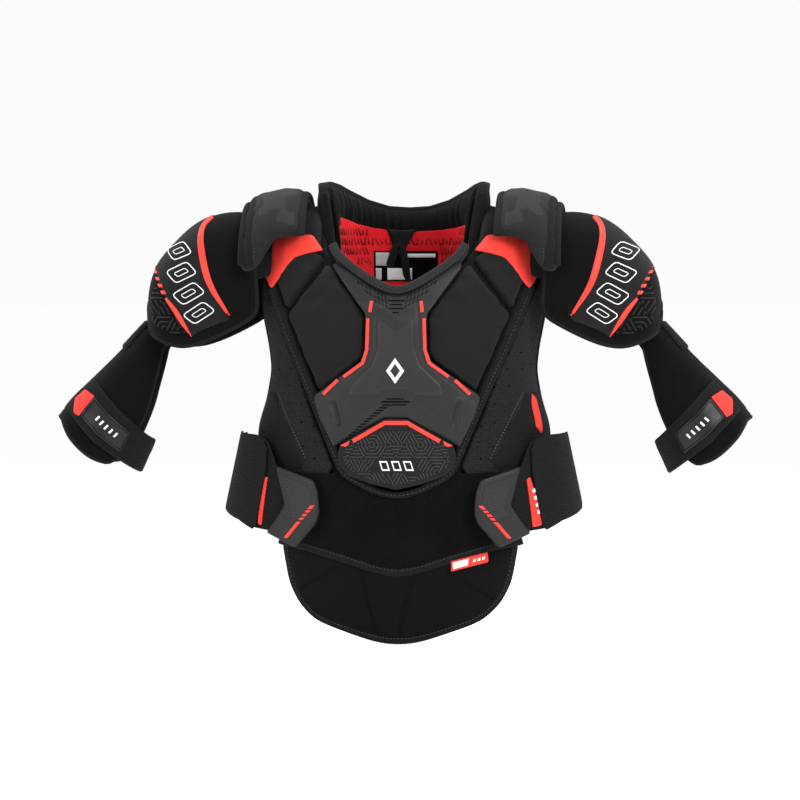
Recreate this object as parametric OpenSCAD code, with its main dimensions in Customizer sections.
// Ice hockey shoulder pads: chest and back panels, collar, shoulder caps,
// shoulder floats, bicep guards, belly band, belly flap and elastic straps.
// +Z is up, the wearer faces -Y and the wearer's left is +X. Millimetres.
// Z = 0 is the lowest point of the belly flap.

/* [Torso] */
// Half width of the chest at its widest
chest_hw = 174; // [168:1:178]
// Depth of the chest in front of the shoulder line
chest_front = 138; // [134:1:144]
// Depth of the back behind the shoulder line
chest_back = 120; // [114:1:126]
// Squareness of the torso section (2 is an ellipse)
torso_p = 2.3; // [2.1:0.1:2.5]
// Thickness of the padded chest and back blocks
block_t = 10; // [8:0.5:10]
// Width of the padded rim along the edge of the chest
rim_w = 12; // [8:0.5:12]
// Clear gap between the layers of the shoulder cap
gap = 0.5; // [0.4:0.1:0.8]

/* [Shoulder caps] */
// Radius of the cap seen from the front
cap_r = 117; // [114:1:118]
// Half depth of the cap, front to back
cap_d = 82; // [78:1:84]
// Thickness of the padded outer cover
cap_cover_t = 4; // [3:0.5:5]
// Thickness of the moulded insert
cap_insert_t = 2.5; // [2:0.5:3]
// Thickness of the foam lining
cap_foam_t = 5; // [4:0.5:6]

/* [Bicep guards] */
// Distance from the middle plane to the top of the guard's axis
arm_x = 292; // [290:0.5:296]
// Angle of the arm away from the vertical
arm_angle = 32.7; // [31:0.1:35]
// Radius of the guard at its upper end
guard_r1 = 40; // [38:1:41]
// Radius of the guard where the strap crosses it
guard_r2 = 56; // [54:1:57]
// Width of the elastic strap
arm_strap_w = 50; // [45:1:50]

/* [Neck] */
// Outer radius of the collar
collar_r = 99.5; // [98:0.5:99.5]
// Thickness of the padded collar
collar_t = 13; // [11:1:14]

/* [Waist] */
// Width of the waist strap
waist_strap_w = 96; // [80:1:100]
// Thickness of the moulded strap tab
tab_t = 4.5; // [3:0.5:6]

/* [Hidden] */
$fn = 64;

// Layers are [inner, outer] offsets from the torso surface, positive outwards
liner_layer = [-21.5, -18];
base_layer = [-17.5, -10.5];
block_layer = [-block_t, 0];

reach = 240;         // length of the cutting prisms, past the torso front or back
neck_y = -5;         // axis of the neck opening and collar
neck_hole_r = 101.5;

// ---- point lists ---------------------------------------------------------
function reversed(list) = [for (i = [len(list)-1:-1:0]) list[i]];
// A half outline, the middle points, then the half mirrored in reverse order
function symmetric(half, middle = []) =
  concat(half, middle, [for (p = reversed(half)) [-p[0], p[1]]]);

function unit(v) = v / norm(v);
function right_of(a, b) = let (u = unit(b-a)) [u[1], -u[0]];
// The line moved to the right of its direction, with mitred corners
function shifted(line, distance) =
  let (last = len(line)-2,
       sides = [for (i = [0:last]) right_of(line[i], line[i+1])])
  [for (i = [0:last+1])
    let (sum = sides[max(i-1, 0)] + sides[min(i, last)])
    line[i] + sum * (2*distance/(sum*sum))];
// Closed outline of a strip on the right-hand side of a line
function strip(line, width) = concat(line, reversed(shifted(line, width)));
// The same line with points no more than step apart
function refine(line, step) = concat(
  [for (i = [0:len(line)-2])
    let (span = line[i+1]-line[i], count = ceil(norm(span)/step))
    for (j = [0:count-1]) line[i] + span*j/count],
  [line[len(line)-1]]);

// Two triangles of a face
function quad(a, b, c, d) = [[a, b, c], [a, c, d]];

// ---- torso surface -------------------------------------------------------
// Levels shared by every torso layer, so that neighbouring layers stay parallel
torso_levels = [0, 50, 100, 140, 180, 220, 260, 320, 380,
  405, 430, 450, 470, 485, 500, 508, 515, 522];
angle_step = 7.5;
// [z, then what is taken off the half width, the front depth and the back depth]
torso_stations = [
  [0, 24, 20, 20], [100, 12, 12, 12], [180, 6, 6, 6], [260, 2, 1, 2], [380, 0, 0, 0],
  [430, 2, 12, 6], [470, 8, 34, 23], [500, 20, 62, 46], [515, 42, 90, 72], [522, 69, 120, 102]];
// [z, share of an offset that also acts upwards]
rise_stations = [[0, 0], [380, 0], [430, 0.25], [470, 0.55], [500, 0.9], [522, 1]];

function torso_size(z, size, column) =
  lookup(z, [for (row = torso_stations) [row[0], size - row[column]]]);
function half_width(z) = torso_size(z, chest_hw, 1);
function front_depth(z) = torso_size(z, chest_front, 2);
function back_depth(z) = torso_size(z, chest_back, 3);

// Superellipse coordinate for a sine or cosine
function squared(v, power) = sign(v) * pow(abs(v), 2/power);
// Angle 0 is +X and -90 degrees is the front
function torso_point(angle, z, out) = [
  (half_width(z)+out) * squared(cos(angle), torso_p),
  ((sin(angle) < 0 ? front_depth(z) : back_depth(z)) + out) * squared(sin(angle), torso_p),
  z + out*lookup(z, rise_stations)];
// Point of the front surface at p = [x, z]
function front_point(p, out) = [
  p[0],
  -(front_depth(p[1])+out)
    * pow(1-pow(abs(p[0])/(half_width(p[1])+out), torso_p), 1/torso_p),
  p[1]];

// A curved layer of the torso. angles are [first, last] in angle steps,
// levels are [first, last] indices into torso_levels.
module shell(layer, angles, levels) {
  columns = angles[1] - angles[0] + 1;
  rows = levels[1] - levels[0] + 1;
  outer = columns*rows; // index of the first outer point
  points = [for (out = layer) for (k = [levels[0]:levels[1]]) for (i = [angles[0]:angles[1]])
    torso_point(i*angle_step, torso_levels[k], out)];
  inner_faces = [for (k = [0:rows-2]) for (i = [0:columns-2]) let (p = k*columns+i)
    for (f = quad(p, p+columns, p+columns+1, p+1)) f];
  outer_faces = [for (k = [0:rows-2]) for (i = [0:columns-2]) let (p = outer+k*columns+i)
    for (f = quad(p, p+1, p+columns+1, p+columns)) f];
  bottom_faces = [for (p = [0:columns-2])
    for (f = quad(p, p+1, outer+p+1, outer+p)) f];
  top_faces = [for (i = [0:columns-2]) let (p = outer-columns+i)
    for (f = quad(p, outer+p, outer+p+1, p+1)) f];
  first_edge = [for (k = [0:rows-2]) let (p = k*columns)
    for (f = quad(p, outer+p, outer+p+columns, p+columns)) f];
  last_edge = [for (k = [0:rows-2]) let (p = k*columns+columns-1)
    for (f = quad(p, p+columns, outer+p+columns, outer+p)) f];
  polyhedron(points = points, convexity = 6,
    faces = concat(inner_faces, outer_faces, bottom_faces, top_faces, first_edge, last_edge));
}

// A bar with four rails of points, listed in order around its section
module ribbon(rails) {
  n = len(rails[0]);
  side_faces = [for (k = [0:3]) for (i = [0:n-2]) let (a = k*n+i, b = ((k+1)%4)*n+i)
    for (f = quad(a, b, b+1, a+1)) f];
  polyhedron(points = [for (rail = rails) for (p = rail) p], convexity = 4,
    faces = concat(side_faces, quad(0, 3*n, 2*n, n), quad(n-1, 2*n-1, 3*n-1, 4*n-1)));
}
// A band on the front, on the right-hand side of a line of [x, z] points
module front_ribbon(line, width, layer, step) {
  near = refine(line, step);
  far = shifted(near, width);
  corners = [[near, layer[0]], [far, layer[0]], [far, layer[1]], [near, layer[1]]];
  ribbon([for (corner = corners) [for (p = corner[0]) front_point(p, corner[1])]]);
}
// A thin bar centred on a line of [x, z] points
module trim_bar(line, width, layer)
  front_ribbon(shifted(line, -width/2), width, layer, step = 5);

// Prisms along Y from an [x, z] outline: in front of Y = 0, behind it, or both
module front(outline) rotate([90, 0, 0]) linear_extrude(reach) polygon(outline);
module back(outline) translate([0, reach, 0]) front(outline);
module through(outline)
  translate([0, reach, 0]) rotate([90, 0, 0]) linear_extrude(2*reach) polygon(outline);

// The part of a torso layer inside an [x, z] outline
module front_piece(layer, angles, levels, outline) intersection() {
  shell(layer, angles, levels);
  front(outline);
}
module back_piece(layer, angles, levels, outline) intersection() {
  shell(layer, angles, levels);
  back(outline);
}

module neck_hole() translate([0, neck_y, 300]) cylinder(h = 300, r = neck_hole_r);
module neck_front()
  front(symmetric([[96, 620], [91, 474], [84, 460], [62, 434], [35, 417]], [[0, 405]]));
module tube(inner_r, outer_r, length) difference() {
  cylinder(h = length, r = outer_r);
  translate([0, 0, -1]) cylinder(h = length+2, r = inner_r);
}

// Paired pieces are drawn on the wearer's left (+X)
module on_side(left) {
  if (left) children();
  else mirror([1, 0, 0]) children();
}
module both_sides() for (s = [0, 1]) mirror([s, 0, 0]) children();

// ---- front ---------------------------------------------------------------
module front_liner() color("#1c1c1e") difference() {
  front_piece(liner_layer, angles = [-24, 0], levels = [2, 15],
    outline = symmetric([[200, 505], [200, 125], [110, 100]], [[0, 92]]));
  neck_front();
  neck_hole();
}
module chest_base_pad() color("#242427") difference() {
  front_piece(base_layer, angles = [-23, -1], levels = [3, 14],
    outline = symmetric([[150, 488], [165, 430], [165, 215], [70, 201]], [[0, 190]]));
  neck_front();
  neck_hole();
}
module side_panel(left) color("#1a1a1c") on_side(left)
  front_piece([-10, -3], angles = [-10, 0], levels = [4, 11],
    outline = [[164, 423], [153, 393], [131.5, 342], [109, 289], [91.5, 247], [76, 210],
      [82, 202], [200, 202], [200, 440], [175, 440]]);
module side_panel_right() side_panel(false);
module side_panel_left() side_panel(true);
module chest_block(left) color("#232326") on_side(left)
  front_piece(block_layer, angles = [-12, -2], levels = [4, 13],
    outline = [[38.5, 392], [38.8, 350], [43.2, 339], [64.5, 322.3], [95, 298.5],
      [115, 345], [134, 392], [85, 453], [80, 452]]);
module chest_block_right() chest_block(false);
module chest_block_left() chest_block(true);
module chest_center_pad() color("#202023")
  front_piece(block_layer, angles = [-17, -7], levels = [4, 10],
    outline = concat([[0, 403]], symmetric(
      [[36, 414], [49, 423], [37.5, 404], [37.5, 349], [42.5, 337], [64, 318],
       [93, 295.5], [82.5, 269], [66, 231], [59.5, 214.5], [37.2, 199]], [[0, 187.6]])));
module chest_wedge(left) color("#232326") on_side(left) difference() {
  front_piece(block_layer, angles = [-11, -1], levels = [8, 13],
    outline = [[89, 461], [135.4, 397.5], [147.7, 429.8], [160.6, 424.9], [167, 448],
      [160, 466], [108, 472]]);
  neck_hole();
}
module chest_wedge_right() chest_wedge(false);
module chest_wedge_left() chest_wedge(true);

// Plate with a tilted slot on each side
module sternum_plate() {
  lower_half = [[76, 446.5], [36.5, 392], [36, 386], [36.7, 350], [41.2, 337], [62.5, 321],
    [95.5, 296], [90, 270], [73.5, 235.5], [66, 241], [53.5, 248], [14, 270.5]];
  top_edge = symmetric([[-73, 450.5], [-54, 437.5], [-31, 423]], [[0, 412.5]]);
  slot_x = 68;
  slot_z = 274;
  slot_tilt = 32;
  color("#2b2b2e") difference() {
    front_piece([1, 6.5], angles = [-18, -6], levels = [4, 12],
      outline = concat(symmetric(lower_half), top_edge));
    for (s = [-1, 1]) translate([s*slot_x, 0, slot_z]) rotate([90, s*slot_tilt, 0])
      linear_extrude(reach) polygon([[-5, -12], [5, -12], [5, 12], [-5, 12]]);
  }
}
module sternum_insert() color("#343438")
  front_piece([7, 9.5], angles = [-17, -7], levels = [5, 10],
    outline = symmetric([[22, 384], [22, 350], [30, 328], [58, 302], [56, 276], [14, 288]]));
module sternum_lower_patch() color("#2a2a2d")
  front_piece([0.8, 2.6], angles = [-17, -7], levels = [4, 7],
    outline = symmetric([[13.5, 269], [53, 246.6], [66, 239], [70, 228], [69, 215],
      [58.5, 201.5], [30, 191]], [[0.4, 184.5]]));
module sternum_trims() {
  plate_trim = [7.3, 8.6];
  patch_trim = [3.1, 5];
  color("#f0442f") {
    both_sides() {
      trim_bar([[30.4, 393.5], [29.3, 406.5]], 4, plate_trim);
      trim_bar([[60, 318.5], [38.5, 334.5], [33.7, 350], [32.8, 385.5]], 4, plate_trim);
      trim_bar([[83.8, 297.7], [67.7, 313.8]], 4, plate_trim);
      trim_bar([[64, 236.5], [55.5, 241.5]], 4.6, patch_trim);
    }
    trim_bar([[51, 242], [13.5, 264], [-13.5, 264], [-51, 242]], 5, patch_trim);
  }
}

// V-shaped rim along the lower edge of the chest
module chest_binding() {
  lower_edge = symmetric([[160, 424], [149, 396], [128, 343], [105.5, 290], [88, 248],
    [70, 206], [43, 187]], [[0, 174]]);
  color("#0e0e10") front_ribbon(lower_edge, rim_w, layer = [1.5-block_t, 0.5], step = 5);
}
module neck_binding() {
  neck_edge = symmetric([[76.3, 465.3], [56.3, 443.7], [32.2, 427.3], [7.3, 416.7]]);
  color("#3a3a3d") front_piece([-17.3, 0.5], angles = [-18, -6], levels = [9, 12],
    outline = strip(neck_edge, 8));
}
module red_patch(left) color("#f4452f") on_side(left) difference() {
  front_piece([0.8, 3.2], angles = [-11, -1], levels = [9, 14],
    outline = [[150, 482], [121, 486], [101.5, 485], [89, 465], [109, 461], [126, 453],
      [153, 420], [166, 448]]);
  neck_hole();
}
module red_patch_right() red_patch(false);
module red_patch_left() red_patch(true);

// ---- shoulders -----------------------------------------------------------
module yoke_pad(left) color("#1f1f22") on_side(left) difference() {
  intersection() {
    shell(block_layer, angles = [-11, 11], levels = [11, 17]);
    translate([95, -75, 474]) cube([90, 150, 60]);
  }
  neck_hole();
}
module yoke_pad_right() yoke_pad(false);
module yoke_pad_left() yoke_pad(true);

arch_z = 430; // springing level of the float's arch sections
// Thin slab across X: a half ellipse on straight legs that go down to foot_z
module arch_slab(x, half_depth, height, foot_z)
  translate([x, 0, 0]) rotate([90, 0, 90]) linear_extrude(0.2) polygon(concat(
    [[-half_depth, foot_z]],
    [for (t = [180:-10:0]) [half_depth*cos(t), arch_z + height*sin(t)]],
    [[half_depth, foot_z]]));
module shoulder_float(left) color("#2d2d30") on_side(left) intersection() {
  difference() {
    hull() {
      arch_slab(112, 115, 105, 400);
      arch_slab(142, 112, 110, 400);
      arch_slab(172, 107, 103, 400);
      arch_slab(190, 101, 92, 400);
    }
    hull() {
      arch_slab(100, 108, 93.5, 380);
      arch_slab(142, 104, 96, 380);
      arch_slab(172, 97, 90, 380);
      arch_slab(202, 90, 80.5, 380);
    }
  }
  through([[112, 488], [150, 484], [168, 450], [186, 441], [200, 452], [200, 560], [112, 560]]);
}
module shoulder_float_right() shoulder_float(false);
module shoulder_float_left() shoulder_float(true);

// ---- neck ----------------------------------------------------------------
collar_bore = collar_r - collar_t;
// Ring open at the front, with its upper edge lowered by drop
module neck_ring(inner_r, outer_r, drop) {
  lower_half = [[45, 466], [72, 447], [97, 456], [120, 470]];
  upper_half = [[120, 540-drop], [97, 550-drop], [88, 551-drop], [70, 538-drop],
    [48, 522-drop], [24, 512-drop]];
  intersection() {
    translate([0, neck_y, 440]) tube(inner_r, outer_r, 120);
    through(concat([[0, 462]], symmetric(concat(lower_half, upper_half), [[0, 509-drop]])));
    translate([-120, -62, 430]) cube([240, 200, 140]);
  }
}
module collar() color("#1d1d20") neck_ring(collar_bore, collar_r, drop = 0);
module collar_liner() color("#0d0d0f") neck_ring(collar_bore-4.5, collar_bore-0.5, drop = 4);
module hanger_loop() color("#0a0a0b") translate([0, 71, 0]) rotate([90, 0, 0])
  linear_extrude(1.6) difference() {
    union() {
      polygon([[-14, 462], [12, 462], [9, 482], [-11, 482]]);
      polygon([[-6, 470], [4, 470], [11, 438], [9, 425], [3, 419], [-5, 419],
        [-11, 425], [-13, 438]]);
    }
    polygon([[-1.8, 458], [-0.2, 458], [4, 438], [3, 430], [-1, 426.5], [-5, 430], [-6, 438]]);
  }

// ---- back ----------------------------------------------------------------
function back_outline(top_z) =
  symmetric([[150, top_z], [168, 430], [170, 190], [140, 160], [70, 146]]);
module back_pad() color("#222225") difference() {
  back_piece(base_layer, angles = [2, 22], levels = [3, 14], outline = back_outline(488));
  neck_hole();
}
// The neck hole spares the middle of the liner up to z = 451
module back_liner() color("#c9232b") difference() {
  back_piece(liner_layer, angles = [2, 22], levels = [3, 14], outline = back_outline(486));
  difference() {
    neck_hole();
    translate([-56, 0, 300]) cube([112, 200, 151]);
  }
}
// Plate with a column of trapezoidal slots
module spine_plate() color("#2b2b2e") difference() {
  back_piece([1, 6], angles = [8, 16], levels = [4, 12],
    outline = symmetric([[30, 440], [52, 420], [56, 360], [40, 300], [44, 240], [34, 196]]));
  for (z = [216:24:400]) back([[-14, z], [14, z], [18, z+7], [-18, z+7]]);
}
module spine_insert() color("#3a3a3d")
  back_piece([6.6, 9], angles = [9, 15], levels = [9, 12],
    outline = symmetric([[18, 434], [34, 420], [36, 408]]));
module scapula_pad(left) color("#232326") on_side(left) difference() {
  back_piece(block_layer, angles = [2, 12], levels = [4, 13],
    outline = [[1.5, 300], [60, 300], [120, 320], [160, 380], [162, 420], [152, 464],
      [60, 466], [1.5, 464]]);
  neck_hole();
}
module scapula_pad_right() scapula_pad(false);
module scapula_pad_left() scapula_pad(true);
module lumbar_pad() color("#1c1c1f")
  back_piece(block_layer, angles = [3, 21], levels = [3, 8],
    outline = symmetric([[60, 298], [120, 317], [152, 330], [150, 196], [120, 168], [60, 152]]));
module size_label() color("#8c8c8c")
  back_piece([-24, -22], angles = [9, 15], levels = [9, 12],
    outline = [[-32, 424], [52, 424], [52, 450], [-32, 450]]);

// ---- belly ---------------------------------------------------------------
module belly_band() color("#111113")
  front_piece([-9.5, -4], angles = [-23, -1], levels = [1, 5],
    outline = concat([[0, 171.5]], symmetric(
      [[44, 184.5], [71, 203], [80, 200.5], [157, 200.5], [160, 130], [141, 126],
       [112, 120.5], [58, 105.5], [27, 94.5]], [[0, 91.5]])));
module belly_band_binding() {
  lower_edge = symmetric([[148, 116.5], [142, 115], [113, 110], [60, 95], [28, 84]], [[0, 81]]);
  color("#0d0d0f") front_ribbon(lower_edge, 9, layer = [-12, -1.5], step = 9);
}
module size_tag() color("#e23a2e")
  front_piece([-0.8, 0.6], angles = [-14, -7], levels = [1, 4],
    outline = [[64, 86], [106, 98], [106, 112], [64, 101]]);

// A narrow slanted strip on the wearer's left side; t runs down its length
module side_tag() {
  corners = [[1, -2.4], [-1, -2.4], [-1, -1], [1, -1]]; // [edge, offset]
  color("#e23a2e") ribbon([for (corner = corners) [for (t = [0:0.25:1])
    torso_point(-29+15.5*t+corner[0]*1.1, 297-47*t+corner[0], corner[1])]]);
}
module belly_flap() {
  upper_edge = [[28, 81.5], [60, 92.5], [113, 107.5]];
  lower_edge = [[144, 112], [137, 76], [124, 48], [104, 30], [62, 14.4], [32, 5]];
  color("#161618") front_piece([-14, -4], angles = [-23, -1], levels = [0, 4],
    outline = concat([[0, 78.5]], symmetric(concat(upper_edge, lower_edge), [[0, 0]])));
}

// ---- waist straps --------------------------------------------------------
strap_hw = 172.5;   // half width of the strap's plan curve, before the bulge
strap_front = 139;
strap_back = 112;
strap_bulge = 0.155; // extra size at the side of the torso
strap_t = 2.4;
strap_over = 2.9;   // offset of the parts that lie on the strap

function bulge(angle) = 1 + strap_bulge*pow(cos(angle), 4);
function strap_point(angle, out) = [
  (strap_hw*bulge(angle)+out) * squared(cos(angle), torso_p),
  ((sin(angle) < 0 ? strap_front : strap_back)*bulge(angle)+out) * squared(sin(angle), torso_p)];
// angles are [first, last] in degrees, heights are [bottom, top]
module strap_band(layer, angles, heights)
  translate([0, 0, heights[0]]) linear_extrude(heights[1]-heights[0]) polygon(concat(
    [for (a = [angles[0]:5:angles[1]]) strap_point(a, layer[1])],
    [for (a = [angles[1]:-5:angles[0]]) strap_point(a, layer[0])]));

module waist_strap(left) color("#151517") on_side(left) intersection() {
  strap_band([0, strap_t], angles = [-55, 0], heights = [120, 120+waist_strap_w+40]);
  front([[112, 190], [150, 214], [186, 240], [230, 240], [230, 148], [184, 138],
    [152, 134], [112, 140]]);
}
module waist_strap_right() waist_strap(false);
module waist_strap_left() waist_strap(true);
module side_elastics() color("#151517") both_sides() intersection() {
  strap_band([0, strap_t], angles = [5, 40], heights = [140, 240]);
  translate([0, 9, 0]) cube([300, 200, 400]);
}
module strap_tab(left) color("#2f2f32") on_side(left) intersection() {
  strap_band([strap_over, strap_over+tab_t], angles = [-70, -15], heights = [100, 230]);
  front([[143, 212], [97, 196], [92, 180], [90, 154], [91, 146], [118, 116],
    [155, 133], [132, 162]]);
}
module strap_tab_right() strap_tab(false);
module strap_tab_left() strap_tab(true);
module strap_label(left) color("#e8402f") on_side(left) intersection() {
  strap_band([strap_over, strap_over+1.5], angles = [-50, -5], heights = [100, 230]);
  front([[157, 212], [162, 212], [172, 153], [166, 151]]);
}
module strap_label_right() strap_label(false);
module strap_label_left() strap_label(true);

// ---- shoulder caps -------------------------------------------------------
cap_center = [200, 0, 392];
cap_p = 2.6; // squareness of the cap section
// Depths of the inner layers below the outer surface
cap_insert_depth = cap_cover_t + gap;
cap_foam_depth = cap_insert_depth + cap_insert_t + gap;

function cap_profile(depth) = [for (t = [-90:7.5:90])
  [(cap_r-depth)*squared(max(cos(t), 0), cap_p), (cap_d-depth)*squared(sin(t), cap_p)]];
module cap_layer(depth, thickness)
  translate(cap_center) rotate([90, 0, 0]) rotate_extrude($fn = 96)
    polygon(concat(cap_profile(depth), reversed(cap_profile(depth+thickness))));
// Trims the cap from the front and from the side; lift raises the lower edges
module cap_cut(lift) intersection() {
  through([[179+lift, 386+lift], [208, 369+lift], [262, 352+lift], [306, 368+lift],
    [335, 380+lift], [335, 540], [179+lift, 540]]);
  translate([150, 0, 0]) rotate([90, 0, 90]) linear_extrude(200)
    polygon(symmetric([[120, 600], [120, 340+lift], [45, 350+lift]], [[0, 384+lift]]));
}
module cap_cover(left) color("#202023") on_side(left) intersection() {
  cap_layer(0, cap_cover_t);
  cap_cut(0);
}
module cap_cover_right() cap_cover(false);
module cap_cover_left() cap_cover(true);
module cap_insert(left) color("#8a8a8e") on_side(left) intersection() {
  cap_layer(cap_insert_depth, cap_insert_t);
  cap_cut(8);
}
module cap_insert_right() cap_insert(false);
module cap_insert_left() cap_insert(true);
module cap_foam(left) color("#2c2c30") on_side(left) intersection() {
  cap_layer(cap_foam_depth, cap_foam_t);
  cap_cut(12);
  through([[150, 410], [340, 410], [340, 600], [150, 600]]);
}
module cap_foam_right() cap_foam(false);
module cap_foam_left() cap_foam(true);

// ---- bicep guards --------------------------------------------------------
arm_z = 359.5;       // height of the top of the guard's axis
guard_length = 142;  // from guard_r1 to guard_r2 along the arm
arm_strap_top = -101;

// Local frame of the arm: -Z runs down the arm, +X is the outer side
module arm(left)
  on_side(left) translate([arm_x, 0, arm_z]) rotate([0, -arm_angle, 0]) children();
function guard_radius(z, out) = guard_r1 + (guard_r2-guard_r1)*(-z)/guard_length + out;
// Conical wall; layer is [inner, outer] offset from the guard's outer face
module guard_cone(layer, bottom, top) difference() {
  translate([0, 0, bottom]) cylinder(h = top-bottom,
    r1 = guard_radius(bottom, layer[1]), r2 = guard_radius(top, layer[1]));
  translate([0, 0, bottom-1]) cylinder(h = top-bottom+2,
    r1 = guard_radius(bottom-1, layer[0]), r2 = guard_radius(top+1, layer[0]));
}
module arm_cut(outline)
  translate([0, 100, 0]) rotate([90, 0, 0]) linear_extrude(200) polygon(outline);
// Sector around the arm's axis; -90 degrees is the front
module sector(from, to) rotate([0, 0, from]) rotate_extrude(angle = to-from, $fn = 96)
  translate([5, -200]) square([100, 260]);

module bicep_guard(left) color("#202023") arm(left) intersection() {
  guard_cone([-5, 0], bottom = -162, top = 0);
  arm_cut([[-9, -9], [20, -9], [38, -29], [70, -60], [70, -120], [49, -145], [27, -155],
    [-6, -161], [-30, -155], [-38, -130], [-35, -86], [-21.5, -53]]);
}
module bicep_guard_right() bicep_guard(false);
module bicep_guard_left() bicep_guard(true);
module bicep_insert(left) color("#8a8a8e") arm(left) intersection() {
  guard_cone([-8, -5.5], bottom = -150, top = -20);
  arm_cut([[-2, -22], [20, -22], [70, -50], [70, -120], [30, -145], [-6, -149],
    [-24, -140], [-28, -110], [-14, -56]]);
}
module bicep_insert_right() bicep_insert(false);
module bicep_insert_left() bicep_insert(true);
module bicep_link(left) color("#0e0e10") arm(left) intersection() {
  translate([0, 0, -40]) tube(inner_r = 31, outer_r = 33.5, length = 66);
  arm_cut([[-4, 30], [-3, -60], [-31, -60], [-22, 30]]);
}
module bicep_link_right() bicep_link(false);
module bicep_link_left() bicep_link(true);
module bicep_strap(left) color("#121214") arm(left) intersection() {
  guard_cone([0.8, 3], bottom = arm_strap_top-arm_strap_w, top = arm_strap_top);
  sector(-180, -28);
}
module bicep_strap_right() bicep_strap(false);
module bicep_strap_left() bicep_strap(true);
// A grey patch and a red patch on the strap
module bicep_patch(left) arm(left) {
  color("#3b3b3f") intersection() {
    guard_cone([3.5, 5.5], bottom = -143, top = -116);
    sector(-138, -76);
  }
  color("#f4452f") intersection() {
    guard_cone([3.5, 4.7], bottom = -147, top = -112);
    sector(-70, -42);
  }
}
module bicep_patch_right() bicep_patch(false);
module bicep_patch_left() bicep_patch(true);

front_liner();
chest_base_pad();
side_panel_right();
side_panel_left();
chest_block_right();
chest_block_left();
chest_center_pad();
chest_wedge_right();
chest_wedge_left();
sternum_plate();
sternum_insert();
sternum_lower_patch();
sternum_trims();
chest_binding();
neck_binding();
red_patch_right();
red_patch_left();
yoke_pad_right();
yoke_pad_left();
shoulder_float_right();
shoulder_float_left();
collar();
collar_liner();
back_pad();
back_liner();
spine_plate();
spine_insert();
scapula_pad_right();
scapula_pad_left();
lumbar_pad();
hanger_loop();
size_label();
belly_band();
belly_band_binding();
size_tag();
side_tag();
belly_flap();
side_elastics();
waist_strap_right();
waist_strap_left();
strap_tab_right();
strap_tab_left();
strap_label_right();
strap_label_left();
cap_cover_right();
cap_cover_left();
cap_insert_right();
cap_insert_left();
cap_foam_right();
cap_foam_left();
bicep_guard_right();
bicep_guard_left();
bicep_insert_right();
bicep_insert_left();
bicep_link_right();
bicep_link_left();
bicep_strap_right();
bicep_strap_left();
bicep_patch_right();
bicep_patch_left();
